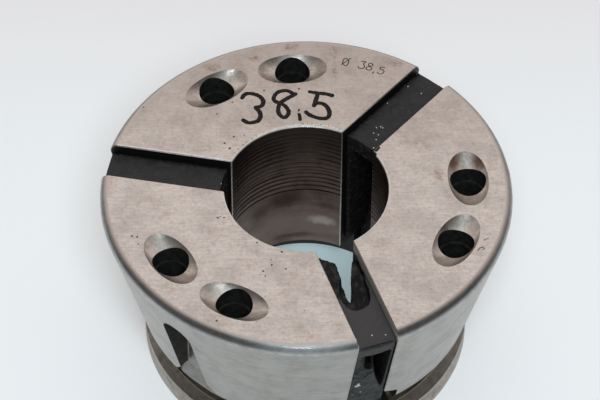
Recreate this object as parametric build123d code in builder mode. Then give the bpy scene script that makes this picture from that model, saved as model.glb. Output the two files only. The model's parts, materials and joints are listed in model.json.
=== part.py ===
"""Segmented clamping head for a taper chuck: three hardened steel segments joined by three rubber webs.

All sizes are in millimetres. The rear face lies on Z = 0, the front face at the top, and the axis is Z.
Angles run anticlockwise from +X, seen from the front face. Depths are measured back from the front face.
"""
import os
from math import cos, radians, sin

from build123d import *

# Whole head
head_length = 50.3
front_diameter = 97.6  # where the taper would meet the front face, before the rim is rounded
rim_radius = 2.0
first_slot_angle = 50.0

# Outer taper and the steep chamfer behind it
taper_length = 35.0
taper_small_diameter = 80.2
taper_back_length = 3.4
taper_back_diameter = 76.2

# Groove and flange at the rear, where the draw tube takes hold
groove_width = 3.9
groove_diameter = 68.0
groove_corner_radius = 0.6
flange_diameter = 78.4
flange_shoulder = 2.1  # 45 degree shoulder on the groove side of the flange
flange_edge_break = 0.5

# Bore and rear recess
bore_diameter = 38.5
bore_chamfer = 0.4
recess_diameter = 49.3
recess_depth = 8.3
recess_chamfer = 0.6

# Slots between the segments, and the wider relief at their rear ends
slot_width = 9.3
slot_edge_break = 0.2  # on the flanks' edges at the front face and at the bore
relief_step = 3.75  # wider than the slot, on each side
relief_start_depth = 29.6  # its top, at the slot's own width
relief_full_depth = 32.0  # where it has its full width
relief_below_groove = 3.0  # of its flat floor, below the rear groove's floor

# Six blind stepped holes for the changing fixture, each in a dished lead-in
fixture_circle_diameter = 76.0
fixture_hole_angle = 14.7  # either side of each segment's middle
fixture_hole_diameter = 8.5
fixture_hole_step_depth = 5.5
fixture_pilot_diameter = 7.4
fixture_pilot_depth = 16.0
dish_length = 16.8
dish_width = 9.5
dish_depth = 2.0

# Locating groove, milled into the taper at one segment's middle
locating_segment = "left_segment"
locating_floor_distance = 38.0  # of its flat floor from the axis
locating_floor_radius = 0.5
locating_width = 8.2
locating_top_depth = 7.6
locating_mouth_width = 12.8
locating_flare_length = 3.25  # of its mouth, up to the taper's small end

# Rubber webs: a strap under the front face, a skin on each flank and a foot towards the rear
web_recess = 2.6  # below the front face
web_bore_inset = 2.05  # behind the bore's wall
web_taper_inset = 0.5  # under the taper's surface
web_groove_inset = 0.6  # under the rear groove's floor
web_rear_gap = 0.6  # above the rear face
web_skin = 1.2
strap_thickness = 4.5
foot_top_depth = 14.0
foot_top_thickness = 9.1
foot_neck_length = 1.0  # where it leaves the taper, ahead of the taper's small end
foot_recess_inset = 2.35  # behind the rear recess's wall
foot_recess_clearance = 2.0  # ahead of the rear recess's floor

# Tear in one web: a notch through the strap from the bore, and a split down the foot beside one skin
torn_web = "front_web"
tear_length = 13.6
tear_root_across = -1.8
tear_shoulder_length = 2.2
tear_shoulder_across = -1.6
tear_mouth_across = 3.2
split_width = 3.2
split_end_depth = 27.5

# Worked out from the sizes above
front_radius = front_diameter / 2
bore_radius = bore_diameter / 2
slot_half = slot_width / 2
flange_radius = flange_diameter / 2
groove_radius = groove_diameter / 2
groove_front_depth = taper_length + taper_back_length
groove_rear_depth = groove_front_depth + groove_width
recess_radius = recess_diameter / 2
taper_slope = (front_diameter - taper_small_diameter) / 2 / taper_length
segment_step = 120
slot_angles = [first_slot_angle + segment_step * turn for turn in range(3)]
segment_angles = [angle + segment_step / 2 for angle in slot_angles]
segments = dict(zip(["upper_segment", "left_segment", "right_segment"], segment_angles))
webs = dict(zip(["rear_web", "left_web", "front_web"], slot_angles))


def outward(angle):
    """Unit vector from the axis at this angle."""
    return Vector(cos(radians(angle)), sin(radians(angle)), 0)


def facing_plane(angle, distance):
    """Plane square to outward: its X runs anticlockwise round the head, its Y up from the rear face."""
    return Plane(origin=outward(angle) * distance, x_dir=outward(angle + 90), z_dir=outward(angle))


def section_plane(angle):
    """Plane that holds the axis: its X runs outward, its Y up from the rear face."""
    return Plane(origin=(0, 0, 0), x_dir=outward(angle), z_dir=outward(angle - 90))


def at(place, depth):
    """Point in one of these planes, from its place along X and its depth below the front face."""
    return (place, head_length - depth)


def taper_radius(depth):
    """Radius of the taper's surface at this depth."""
    return front_radius - taper_slope * depth


# The blank: one turned ring, drilled for the changing fixture
with BuildPart() as blank:
    with BuildSketch(section_plane(0)):
        with BuildLine():
            Polyline(
                at(bore_radius + bore_chamfer, 0),
                at(front_radius, 0),
                at(taper_small_diameter / 2, taper_length),
                at(taper_back_diameter / 2, groove_front_depth),
                at(groove_radius, groove_front_depth),
                at(groove_radius, groove_rear_depth),
                at(flange_radius - flange_shoulder, groove_rear_depth),
                at(flange_radius, groove_rear_depth + flange_shoulder),
                at(flange_radius, head_length - flange_edge_break),
                at(flange_radius - flange_edge_break, head_length),
                at(recess_radius + recess_chamfer, head_length),
                at(recess_radius, head_length - recess_chamfer),
                at(recess_radius, head_length - recess_depth),
                at(bore_radius, head_length - recess_depth),
                at(bore_radius, bore_chamfer),
                close=True,
            )
        make_face()
    revolve(axis=Axis.Z)
    fillet(blank.edges().group_by(Axis.Z)[-1].sort_by(SortBy.RADIUS)[-1], radius=rim_radius)
    groove_corners = blank.edges().filter_by(GeomType.CIRCLE).filter_by(
        lambda corner: abs(corner.radius - groove_radius) < groove_corner_radius / 10
    )
    fillet(groove_corners, radius=groove_corner_radius)

    dish_long_radius = (dish_length**2 / 4 + dish_depth**2) / (2 * dish_depth)
    dish_cross_radius = (dish_width**2 / 4 + dish_depth**2) / (2 * dish_depth)
    for middle in segment_angles:
        for angle in (middle - fixture_hole_angle, middle + fixture_hole_angle):
            hole_axis = outward(angle) * (fixture_circle_diameter / 2)
            with Locations(Plane(origin=hole_axis + Vector(0, 0, head_length), z_dir=(0, 0, 1))):
                CounterBoreHole(
                    radius=fixture_pilot_diameter / 2,
                    counter_bore_radius=fixture_hole_diameter / 2,
                    counter_bore_depth=fixture_hole_step_depth,
                    depth=fixture_pilot_depth,
                )
            dish_centre = hole_axis + Vector(0, 0, head_length - dish_depth + dish_long_radius)
            with Locations(Plane(origin=dish_centre, z_dir=outward(angle))):
                Torus(dish_long_radius - dish_cross_radius, dish_cross_radius, mode=Mode.SUBTRACT)

# What the cutter takes out for the locating groove: it runs out into the rear groove
locating_angle = segments[locating_segment]
with BuildPart() as locating_groove:
    with BuildSketch(facing_plane(locating_angle, locating_floor_distance)):
        with BuildLine():
            arc_depth = locating_top_depth + locating_width / 2
            flare_depth = taper_length - locating_flare_length
            run_out_depth = groove_front_depth + groove_width / 2
            Polyline(
                at(locating_width / 2, arc_depth),
                at(locating_width / 2, flare_depth),
                at(locating_mouth_width / 2, taper_length),
                at(locating_mouth_width / 2, run_out_depth),
                at(-locating_mouth_width / 2, run_out_depth),
                at(-locating_mouth_width / 2, taper_length),
                at(-locating_width / 2, flare_depth),
                at(-locating_width / 2, arc_depth),
            )
            ThreePointArc(
                at(-locating_width / 2, arc_depth), at(0, locating_top_depth), at(locating_width / 2, arc_depth)
            )
        make_face()
    extrude(amount=front_radius - locating_floor_distance)
    floor = locating_groove.faces().sort_by(Axis((0, 0, 0), outward(locating_angle)))[0]
    fillet(floor.edges(), radius=locating_floor_radius)

os.makedirs("parts", exist_ok=True)

relief_floor_distance = groove_radius - relief_below_groove
relief_half = slot_half + relief_step

# Each segment is the part of the blank between two slots, with half of a relief at each rear end
for name, middle in segments.items():
    with BuildPart() as segment:
        add(blank.part)
        with BuildSketch():
            sector_point = outward(middle) * (slot_half / sin(radians(segment_step / 2)))
            with BuildLine():
                Polyline(
                    sector_point,
                    sector_point + outward(middle - segment_step / 2) * front_diameter,
                    sector_point + outward(middle + segment_step / 2) * front_diameter,
                    close=True,
                )
            make_face()
        extrude(amount=head_length, mode=Mode.INTERSECT)
        face_edges = segment.edges().group_by(Axis.Z)[-1].filter_by(GeomType.LINE)
        bore_edges = segment.edges().filter_by(Axis.Z).sort_by_distance((0, 0, head_length / 2))[:2]
        chamfer(face_edges + bore_edges, length=slot_edge_break)
        for slot_angle in (middle - segment_step / 2, middle + segment_step / 2):
            with BuildSketch(facing_plane(slot_angle, relief_floor_distance)):
                with BuildLine():
                    Polyline(
                        at(-slot_half, relief_start_depth),
                        at(-relief_half, relief_full_depth),
                        at(-relief_half, head_length),
                        at(relief_half, head_length),
                        at(relief_half, relief_full_depth),
                        at(slot_half, relief_start_depth),
                        close=True,
                    )
                make_face()
            extrude(amount=front_radius - relief_floor_distance, mode=Mode.SUBTRACT)
        if name == locating_segment:
            add(locating_groove.part, mode=Mode.SUBTRACT)
    segment.part.label = name
    export_step(segment.part, f"parts/{name}.step")

# Each web fills its slot's width, with a hollow between the strap, the foot and the two skins
strap_under_depth = web_recess + strap_thickness
web_inner_radius = bore_radius + web_bore_inset
foot_top_radius = taper_radius(foot_top_depth) - foot_top_thickness
foot_neck_depth = taper_length - foot_neck_length
foot_outer_radius = groove_radius - web_groove_inset
foot_inner_radius = recess_radius + foot_recess_inset
foot_inner_depth = head_length - recess_depth - foot_recess_clearance
skin_face = slot_half - web_skin
for name, slot_angle in webs.items():
    with BuildPart() as web:
        with BuildSketch(section_plane(slot_angle)):
            with BuildLine():
                Polyline(
                    at(web_inner_radius, web_recess),
                    at(taper_radius(web_recess) - web_taper_inset, web_recess),
                    at(taper_radius(foot_neck_depth) - web_taper_inset, foot_neck_depth),
                    at(foot_outer_radius, groove_front_depth),
                    at(foot_outer_radius, head_length - web_rear_gap),
                    at(foot_inner_radius, head_length - web_rear_gap),
                    at(foot_inner_radius, foot_inner_depth),
                    at(web_inner_radius, foot_inner_depth),
                    close=True,
                )
            make_face()
        revolve(axis=Axis.Z)
        with BuildSketch(Plane(origin=(0, 0, 0), x_dir=outward(slot_angle), z_dir=(0, 0, 1))):
            Rectangle(front_radius, slot_width, align=(Align.MIN, Align.CENTER))
        extrude(amount=head_length, mode=Mode.INTERSECT)
        with BuildSketch(section_plane(slot_angle)):
            with BuildLine():
                Polyline(
                    at(0, strap_under_depth),
                    at(front_radius, strap_under_depth),
                    at(front_radius, foot_top_depth),
                    at(foot_top_radius, foot_top_depth),
                    at(foot_inner_radius, foot_inner_depth),
                    at(0, foot_inner_depth),
                    close=True,
                )
            make_face()
        extrude(amount=skin_face, both=True, mode=Mode.SUBTRACT)
        if name == torn_web:
            strap_under_z = head_length - strap_under_depth
            with BuildSketch(Plane(origin=(0, 0, strap_under_z), x_dir=outward(slot_angle), z_dir=(0, 0, 1))):
                with BuildLine():
                    Polyline(
                        (0, -slot_half),
                        (web_inner_radius, -slot_half),
                        (web_inner_radius + tear_shoulder_length, tear_shoulder_across),
                        (web_inner_radius + tear_length, tear_root_across),
                        (web_inner_radius, tear_mouth_across),
                        (0, tear_mouth_across),
                        close=True,
                    )
                make_face()
            extrude(amount=strap_thickness, mode=Mode.SUBTRACT)
            with BuildSketch(facing_plane(slot_angle, foot_inner_radius)):
                with BuildLine():
                    Polyline(
                        at(skin_face - split_width, foot_top_depth),
                        at(skin_face, foot_top_depth),
                        at(skin_face, split_end_depth),
                        close=True,
                    )
                make_face()
            extrude(amount=front_radius, mode=Mode.SUBTRACT)
    web.part.label = name
    export_step(web.part, f"parts/{name}.step")
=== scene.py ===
import json
import random
from math import atan2, ceil, cos, hypot, pi, radians, sin

import bmesh
import bpy
from mathutils import Matrix, Vector, noise
from mathutils.geometry import delaunay_2d_cdt


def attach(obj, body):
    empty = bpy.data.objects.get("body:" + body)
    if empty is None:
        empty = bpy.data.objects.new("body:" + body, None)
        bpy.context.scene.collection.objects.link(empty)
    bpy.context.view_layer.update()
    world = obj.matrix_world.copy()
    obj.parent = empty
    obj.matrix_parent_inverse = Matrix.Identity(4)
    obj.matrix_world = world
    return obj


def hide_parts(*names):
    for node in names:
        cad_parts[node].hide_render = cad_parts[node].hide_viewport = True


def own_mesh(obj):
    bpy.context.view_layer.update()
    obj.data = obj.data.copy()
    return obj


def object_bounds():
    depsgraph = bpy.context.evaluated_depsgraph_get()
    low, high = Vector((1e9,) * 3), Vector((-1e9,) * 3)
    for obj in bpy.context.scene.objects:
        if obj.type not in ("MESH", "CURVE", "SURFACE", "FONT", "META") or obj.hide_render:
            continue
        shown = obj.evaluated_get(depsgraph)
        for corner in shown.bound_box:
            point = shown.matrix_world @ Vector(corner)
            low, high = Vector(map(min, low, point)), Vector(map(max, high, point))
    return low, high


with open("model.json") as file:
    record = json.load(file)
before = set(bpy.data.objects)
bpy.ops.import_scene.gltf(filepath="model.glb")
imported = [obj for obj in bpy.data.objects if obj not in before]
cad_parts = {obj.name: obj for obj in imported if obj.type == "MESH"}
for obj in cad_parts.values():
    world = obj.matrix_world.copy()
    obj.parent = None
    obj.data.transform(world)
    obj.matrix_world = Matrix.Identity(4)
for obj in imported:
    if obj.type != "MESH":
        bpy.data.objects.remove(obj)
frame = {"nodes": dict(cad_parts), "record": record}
cadLow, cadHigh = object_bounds()
mounts = {mount["name"]: mount for mount in frame["record"]["mounts"]}
mm = 0.001
frontZ = cadHigh.z
boreRadius = mounts["bore"]["dims"]["r_mm"]
sideways, backwards, upwards = (1, 0, 0), (0, 1, 0), (0, 0, 1)
scene = bpy.context.scene
scene.view_settings.view_transform = "Standard"
print("frame loaded:", ", ".join(sorted(frame["nodes"])))


def placed(name, data):
    thing = bpy.data.objects.new(name, data)
    scene.collection.objects.link(thing)
    return thing


def asMesh(name, bm):
    mesh = bpy.data.meshes.new(name)
    bm.to_mesh(mesh)
    bm.free()
    return mesh


def toLinear(hexColour):
    parts = [int(hexColour[place:place + 2], 16) / 255 for place in (1, 3, 5)]
    return [p / 12.92 if p <= 0.04045 else ((p + 0.055) / 1.055) ** 2.4 for p in parts] + [1]


def addNode(near, kind, inputs=None, **settings):
    # a node in the tree that something belongs to, its inputs linked or set; gives its outputs
    tree = near.id_data
    node = tree.nodes.new("ShaderNode" + kind)
    for name, value in settings.items():
        setattr(node, name, value)
    for socket, value in (inputs or {}).items():
        if isinstance(value, bpy.types.NodeSocket):
            tree.links.new(value, node.inputs[socket])
        else:
            node.inputs[socket].default_value = value
    return node.outputs


def newMaterial(name, colour, **values):
    # a material, its constant values on the shader's own sockets, and the place its patterns start from
    material = bpy.data.materials.new(name)
    material.use_nodes = True
    tree = material.node_tree
    shader = tree.nodes["Principled BSDF"]
    shader.inputs["Base Color"].default_value = toLinear(colour)
    for socket, value in values.items():
        shader.inputs[socket.replace("_", " ")].default_value = value
    return material, shader, addNode(tree, "TexCoord")["Object"]


def perMm(sizeMm):
    # the noise scale for features of this size, as places are in metres
    return 1000 / sizeMm


def roundTheAxis(place, radiusMm=1.0, stretch=(1, 1, 1)):
    # distance from the axis, way round at this radius, and height, so that a pattern runs round the head;
    # the turn of 10 degrees puts the seam in the slot at 170 degrees
    turned = addNode(place, "VectorRotate", {"Vector": place, "Angle": radians(10)}, rotation_type="Z_AXIS")[0]
    parts = addNode(place, "SeparateXYZ", {0: turned})
    angle = addNode(place, "Math", {0: parts["Y"], 1: parts["X"]}, operation="ARCTAN2")[0]
    wayRound = addNode(place, "Math", {0: angle, 1: radiusMm * mm}, operation="MULTIPLY")[0]
    level = addNode(place, "CombineXYZ", {"X": parts["X"], "Y": parts["Y"]})[0]
    radius = addNode(place, "VectorMath", {0: level}, operation="LENGTH")["Value"]
    rolled = addNode(place, "CombineXYZ", {"X": radius, "Y": wayRound, "Z": parts["Z"]})[0]
    return addNode(place, "VectorMath", {0: rolled, 1: stretch}, operation="MULTIPLY")[0]


def shakenPlace(place, sizeMm, amountMm):
    # a place pushed about by noise, for ragged outlines
    shake = addNode(place, "TexNoise", {"Vector": place, "Scale": perMm(sizeMm), "Detail": 4.0})["Color"]
    centred = addNode(place, "VectorMath", {0: shake, 1: (0.5, 0.5, 0.5)}, operation="SUBTRACT")[0]
    push = addNode(place, "VectorMath", {0: centred, "Scale": amountMm * mm * 4}, operation="SCALE")[0]
    return addNode(place, "VectorMath", {0: place, 1: push}, operation="ADD")[0]


def mottled(place, sizeMm, low=0.3, high=0.7, ragged=0.5, **inputs):
    # patches of this size, spread over 0 to 1 between two levels of their noise
    patches = addNode(
        place, "TexNoise",
        {"Vector": place, "Scale": perMm(sizeMm), "Detail": 3, "Roughness": ragged, **inputs},
    )["Fac"]
    return rising(patches, sideways, low, high)


def rising(place, direction, start, end, most=1.0):
    # a share that rises smoothly along a direction, from 0 at start to its most at end
    along = addNode(place, "VectorMath", {0: place, 1: direction}, operation="DOT_PRODUCT")["Value"]
    limits = {"Value": along, "From Min": start, "From Max": end, "To Max": most}
    return addNode(place, "MapRange", limits, interpolation_type="SMOOTHSTEP")[0]


def belowFace(place, depths, most=1.0):
    # a share that rises from one depth below the front face to another, in mm
    return rising(place, upwards, *[frontZ - depth * mm for depth in depths], most)


def spotShare(place, centreMm, radiiMm, soft, most=1.0):
    # an oval spot, which falls to 0 at its soft edge
    offset = addNode(place, "VectorMath", {0: place, 1: [c * mm for c in centreMm]}, operation="SUBTRACT")[0]
    scaled = addNode(place, "VectorMath", {0: offset, 1: [1 / (r * mm) for r in radiiMm]}, operation="MULTIPLY")[0]
    distance = addNode(place, "VectorMath", {0: scaled}, operation="LENGTH")["Value"]
    return rising(distance, sideways, 1, soft, most)


def tinted(share, under, over, strength=1.0):
    # one colour over another, by a share times a strength; a colour is a hex value or a socket
    under, over = [toLinear(colour) if isinstance(colour, str) else colour for colour in (under, over)]
    part = addNode(share, "Math", {0: share, 1: strength}, operation="MULTIPLY")[0]
    return addNode(share, "Mix", {0: part, 6: under, 7: over}, data_type="RGBA")[2]


def dressed(shader, colour, wear=None, roughness=None, relief=None, depthMm=0.0, strength=0.5):
    # joins a finish to its shader: the colour, the roughness between two values by wear, and the relief
    shader.id_data.links.new(colour, shader.inputs["Base Color"])
    if wear:
        limits = {"Value": wear, "To Min": roughness[0], "To Max": roughness[1]}
        shader.id_data.links.new(addNode(shader, "MapRange", limits)[0], shader.inputs["Roughness"])
    if relief:
        bump = addNode(shader, "Bump", {"Height": relief, "Distance": depthMm * mm, "Strength": strength})
        shader.id_data.links.new(bump[0], shader.inputs["Normal"])


# Camera, at the photograph's angle
cameraSet = dict(
    lensMm=183.5,
    aimMm=(-1.48, -3.96, 50.3),
    distanceMm=711.5,
    elevationDeg=49.217,
    rollDeg=0.36,
)
camera = placed("camera", bpy.data.cameras.new("camera"))
camera.data.lens = cameraSet["lensMm"]
elevation = radians(cameraSet["elevationDeg"])
towardsCamera = Vector((0, -cos(elevation), sin(elevation)))
cameraPlace = (Vector(cameraSet["aimMm"]) + towardsCamera * cameraSet["distanceMm"]) * mm
cameraTurn = (-towardsCamera).to_track_quat("-Z", "Y").to_matrix().to_4x4()
cameraRoll = Matrix.Rotation(radians(cameraSet["rollDeg"]), 4, "Z")
camera.matrix_world = Matrix.Translation(cameraPlace) @ cameraTurn @ cameraRoll
scene.camera = camera

# Studio: two soft lamps in front and above, a bright wall behind, a lit strip overhead and dim corners
studio = dict(
    floorRadius=3, floorSides=96,
    floorColour="#F0EEEE",
    floorBackColour="#ECE2E2", backStarts=(0.05, 0.16),  # the card turns warmer towards the back
    underColour="#D0E4E7", underEdge=(0.036, 0.030),  # under the head it takes a colder light
    sheetEdge=(0.13, 0.30),  # beyond this the card is painted darker, as painted shade seen only in reflections
    floorShadeColour="#A09A98", floorCornerShadeColour="#413F3D",
    cornerAside=(0.04, 0.12), cornerFront=(0.06, -0.04),
    glowShare=0.28, glowStrength=1.07,
    backdropColour="#E9E8EB",
    cornerColour="#595755",
    wallColour="#F8F0EC", wallDirection=(0, 0.8, 0.6), wallReach=(0.28, 1.08),
    stripFrontColour="#B9C4C8", stripOverheadColour="#E9F8FC",
    stripHeight=(0.80, 0.93), stripHalf=(0.34, 0.14), stripBack=(0.45, 0.20),
    lamps=dict(
        ceilingLamp=dict(direction=(-0.02, -0.42, 0.905), distance=1.5, size=0.12, watts=1,
            colour="#ECF8FF", inMetal=True),
        frontFill=dict(direction=(0.05, -0.59, 0.80), distance=1, size=0.30, watts=7.1,
            colour="#DFF4FB", inMetal=False),
    ),
)
world = bpy.data.worlds.new("studio")
scene.world = world
world.use_nodes = True
tree = world.node_tree
tree.nodes.clear()
outwards = addNode(tree, "TexCoord")["Generated"]
aside = addNode(tree, "VectorMath", {0: outwards}, operation="ABSOLUTE")[0]
onWall = rising(outwards, studio["wallDirection"], *studio["wallReach"])
wall = tinted(onWall, studio["cornerColour"], studio["wallColour"])
overhead = rising(outwards, upwards, *studio["stripHeight"])
strip = tinted(overhead, studio["stripFrontColour"], studio["stripOverheadColour"])
withinSides = rising(aside, sideways, *studio["stripHalf"])
inFront = rising(outwards, backwards, *studio["stripBack"])
surroundings = tinted(withinSides, wall, strip, inFront)
lit = addNode(tree, "Background", {"Color": surroundings})[0]
seen = addNode(tree, "Background", {"Color": toLinear(studio["backdropColour"])})[0]
cameraRay = addNode(tree, "LightPath")["Is Camera Ray"]
both = addNode(tree, "MixShader", {0: cameraRay, 1: lit, 2: seen})[0]
addNode(tree, "OutputWorld", {"Surface": both})

for name, look in studio["lamps"].items():
    lamp = placed(name, bpy.data.lights.new(name, "AREA"))
    lamp.data.shape = "DISK"
    lamp.data.size = look["size"]
    lamp.data.energy = look["watts"]
    lamp.data.color = toLinear(look["colour"])[:3]
    lamp.location = Vector(look["direction"]).normalized() * look["distance"]
    lamp.rotation_euler = lamp.location.to_track_quat("Z", "Y").to_euler()
    lamp.visible_glossy = look["inMetal"]

bm = bmesh.new()
bmesh.ops.create_circle(bm, cap_ends=True, segments=studio["floorSides"], radius=studio["floorRadius"])
floor = placed("floor", asMesh("floor", bm))
# matt white card: dull, pale, with next to no sheen
card, shader, place = newMaterial("matt white card", studio["floorColour"], Roughness=0.85, Specular_IOR_Level=0.2)
rays = addNode(place, "LightPath")
fromAxis = roundTheAxis(place)
aside = addNode(place, "VectorMath", {0: place}, operation="ABSOLUTE")[0]
atBack = rising(place, backwards, *studio["backStarts"])
sheet = tinted(atBack, studio["floorColour"], studio["floorBackColour"])
under = rising(fromAxis, sideways, *studio["underEdge"])
sheet = tinted(under, sheet, studio["underColour"], rays["Is Camera Ray"])
toSide = rising(aside, sideways, *studio["cornerAside"])
toFront = rising(place, backwards, *studio["cornerFront"])
# painted shade: the card beyond the sheet is darker in reflections, darkest towards the front corners
shadeBeyond = tinted(toSide, studio["floorShadeColour"], studio["floorCornerShadeColour"], toFront)
notSeen = addNode(place, "Math", {0: 1, 1: rays["Is Camera Ray"]}, operation="SUBTRACT")[0]
edged = tinted(rising(fromAxis, sideways, *studio["sheetEdge"]), sheet, shadeBeyond, notSeen)
dressed(shader, edged)
# camera and metal see the card part lit from within, so its white needs no more light on the head
glow = addNode(place, "Emission", {"Color": sheet, "Strength": studio["glowStrength"]})[0]
seenRay = addNode(place, "Math", {0: rays["Is Camera Ray"], 1: rays["Is Glossy Ray"]}, operation="MAXIMUM")[0]
share = addNode(place, "Math", {0: seenRay, 1: studio["glowShare"]}, operation="MULTIPLY")[0]
whole = addNode(place, "MixShader", {0: share, 1: shader.outputs[0], 2: glow})[0]
card.node_tree.links.new(whole, card.node_tree.nodes["Material Output"].inputs["Surface"])
floor.data.materials.append(card)
print("camera, lamps and floor in place")


# Steel finishes. Patches: size in mm, the two levels they are spread between, how ragged
faceSteelSet = dict(
    colour="#E1DAD4", roughness=(0.38, 0.47),
    tarnish=("#AFA5A0", 0.32), blotches=(6, 0.36, 0.72, 0.62),
    # the face is darker towards the back
    backDarker=("#9C8D84", 0.5), backStarts=(-0.005, 0.05),
    grain=("#8B817B", 0.4), grains=(0.9, 0.42, 0.78, 0.7), grainDeepMm=0.012,
    line=("#ADA5A1", 0.3), lines=(0.3, 0.35, 0.7, 0.5), lineStretch=(0.06, 1, 1),
    warm=("#BFA492", 0.6), warmPatches=(3.2, 0.52, 0.8, 0.7),
    cool=("#B9B7BE", 0.38), coolPatches=(1.8, 0.5, 0.72, 0.7),
    rustColour="#84624A", rustPatches=(1.4, 0.3, 0.7, 0.65), rustShakeMm=(1.2, 0.6), rustSpread=1.35,
    rustSpots=[  # centre, radii, strength
        ((-4, 45.2), (2, 1.3), 1), ((-22.7, 38), (1.8, 1.2), 0.8), ((-12.6, 41.4), (1.5, 1.4), 0.8),
        ((6.6, 43.5), (0.8, 2.2), 0.8), ((6.7, 37.5), (0.7, 4), 0.6), ((21.1, 40), (2.2, 1.4), 0.6),
        ((30.9, 4.2), (1.3, 2.8), 0.9), ((32.6, -1.4), (1, 1.4), 0.6), ((43.5, 8), (1.4, 3), 0.3),
        ((26, 14), (3.5, 3), 0.3), ((22.5, 18), (2.5, 2.5), 0.3), ((-6, 33.5), (3, 1.5), 0.35),
    ],
)


def groundFaceFinish():
    # surface-ground tool steel, handled and lightly tarnished: satin, with brown-grey blotches and fine grain
    look = faceSteelSet
    material, shader, place = newMaterial("surface-ground tool steel, tarnished", look["colour"], Metallic=1)
    blotch = mottled(place, *look["blotches"])
    grain = mottled(place, *look["grains"])
    # grinding lines finer than a pixel are drawn 0.3 mm wide and 5 mm long
    along = addNode(place, "VectorMath", {0: place, 1: look["lineStretch"]}, operation="MULTIPLY")[0]
    colour = look["colour"]
    for share, (over, strength) in (
        (blotch, look["tarnish"]),
        (rising(place, backwards, *look["backStarts"]), look["backDarker"]),
        (grain, look["grain"]),
        (mottled(along, *look["lines"]), look["line"]),
        (mottled(place, *look["warmPatches"]), look["warm"]),
        (mottled(place, *look["coolPatches"], Lacunarity=2.3), look["cool"]),
    ):
        colour = tinted(share, colour, over, strength)
    ragged = shakenPlace(place, *look["rustShakeMm"])
    patchy = mottled(place, *look["rustPatches"])
    for (x, y), radii, strength in look["rustSpots"]:
        wide, high = [radius * look["rustSpread"] for radius in radii]
        spot = spotShare(ragged, (x, y, frontZ / mm), (wide, high, 9), 0, strength)
        colour = tinted(spot, colour, look["rustColour"], patchy)
    dressed(shader, colour, blotch, look["roughness"], grain, look["grainDeepMm"])
    return material


turnedSet = dict(
    rim=dict(
        name="ground steel rim, worn smooth", colour="#BBBBBA", worn="#929190", roughness=(0.25, 0.35),
        anisotropic=0.7, blotchMm=3, lineMm=0.25, radiusMm=47,
        top=("#C4BAB4", 0.3, 0.02),  # the rim runs into the face without an edge, between these depths
    ),
    taper=dict(
        name="cylindrically ground taper", colour="#B3B0AB", worn="#928F89", roughness=(0.3, 0.4),
        anisotropic=0.4, blotchMm=5, radiusMm=45,
    ),
    bore=dict(
        name="turned bore, dull with oil", colour="#80736C", worn="#51443D", roughness=(0.3, 0.42),
        anisotropic=0.3, blotchMm=5, lineMm=0.35, radiusMm=19.25,
        # painted light: the lower wall paler, a painted reflection, and the upper wall darker, painted shade
        low=("#9C9086", 28, 14, 0.62), clouds=(6, 0.3, 0.7), cloudStretch=(1, 0.4, 1),
        high=("#463E39", 32, 48, 0.7),
        stainsAndReflections=[  # centre, radii, strength, colour
            ((-5.2, 18.4, 24.4), (7.6, 5, 4.4), 0.75, "#42312A"),
            ((-11.5, 15.6, 22.6), (4.2, 4, 3.6), 0.6, "#42312A"),
            ((5.2, 18.6, 22), (4.5, 3, 1.6), 0.5, "#463830"),
            ((-3.5, 18.9, 10.6), (8.5, 4, 1.3), 0.6, "#4A3C33"),
            # the pale patch is a painted reflection, not a stain
            ((3.9, 18.8, 16.4), (5.5, 3, 2.2), 0.6, "#E2DDD6"),
        ],
    ),
    rear=dict(
        name="turned groove and flange, oily", colour="#B4ADA4", worn="#7D7067", roughness=(0.34, 0.5),
        anisotropic=0.3, radiusMm=37,
        # a painted highlight: a thin lighter ring on the flange's shoulder
        paintedHighlightRing=("#F4EDDF", 37, 37.15, 0.1, 0.85),
        stainsAndReflections=[((-29.9, -21.2, 8), (1.3, 0.9, 1.2), 1, "#241B16")],
    ),
    # stoned edges: real bevels, their steel painted lighter than steel is, as a painted highlight
    edge=dict(
        name="stoned edge, bright steel", colour="#F1EFEB", worn="#BFB9B3", roughness=(0.25, 0.4),
        blotchMm=1.2, radiusMm=30,
    ),
    dish=dict(
        name="milled dish, streaked", colour="#DFD8D2", worn="#9F9187", roughness=(0.28, 0.4),
        anisotropic=0.5, blotchMm=2.2, radiusMm=38,
        shadedSide=("#7A6E66", 0, 0.24, 0.7),  # the side that faces away from the lamps is painted darker: painted shade
        stainsAndReflections=[
            ((34.2, 8.6, 49.3), (2.5, 3.8, 9), 0.85, "#74533C"), ((40.8, 8.8, 49.3), (2.2, 3.4, 9), 0.8, "#74533C"),
            ((37, 11.7, 49.3), (2.8, 0.7, 9), 0.5, "#6B4630"), ((31.8, -12, 49.3), (1.4, 1.8, 9), 0.5, "#6B4630"),
            # these two grey-brown patches darken the two upper dishes
            ((3.6, 38.3, 49.3), (2.6, 3, 9), 0.55, "#6E6055"), ((-11.2, 38, 49.3), (2.2, 2.8, 9), 0.45, "#6E6055"),
        ],
    ),
    # the groove's side walls are drawn darker than its floor: painted shade
    wall=dict(
        name="milled wall of the locating groove, painted shade", colour="#605D5A", worn="#3B3938",
        roughness=(0.42, 0.6), lineMm=0.4,
    ),
    keyway=dict(
        name="milled locating groove", colour="#96938F", worn="#6C6A68", roughness=(0.3, 0.45),
        lineMm=0.4,
    ),
)
# what all of them share, where they name nothing else
cutSet = dict(
    anisotropic=0, blotchMm=2.5, lineMm=0.3, radiusMm=42, stainsAndReflections=[],
    lineStretch=(1, 0.025, 1), lineLevels=(0.3, 0.7, 0.6), blotchLevels=(0.35, 0.75, 0.65),
    blotchStrength=0.7, lineStrength=0.35, lineDeepMm=0.008, stainShakeMm=(1.2, 0.5), stainSoft=0.2,
)


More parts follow.
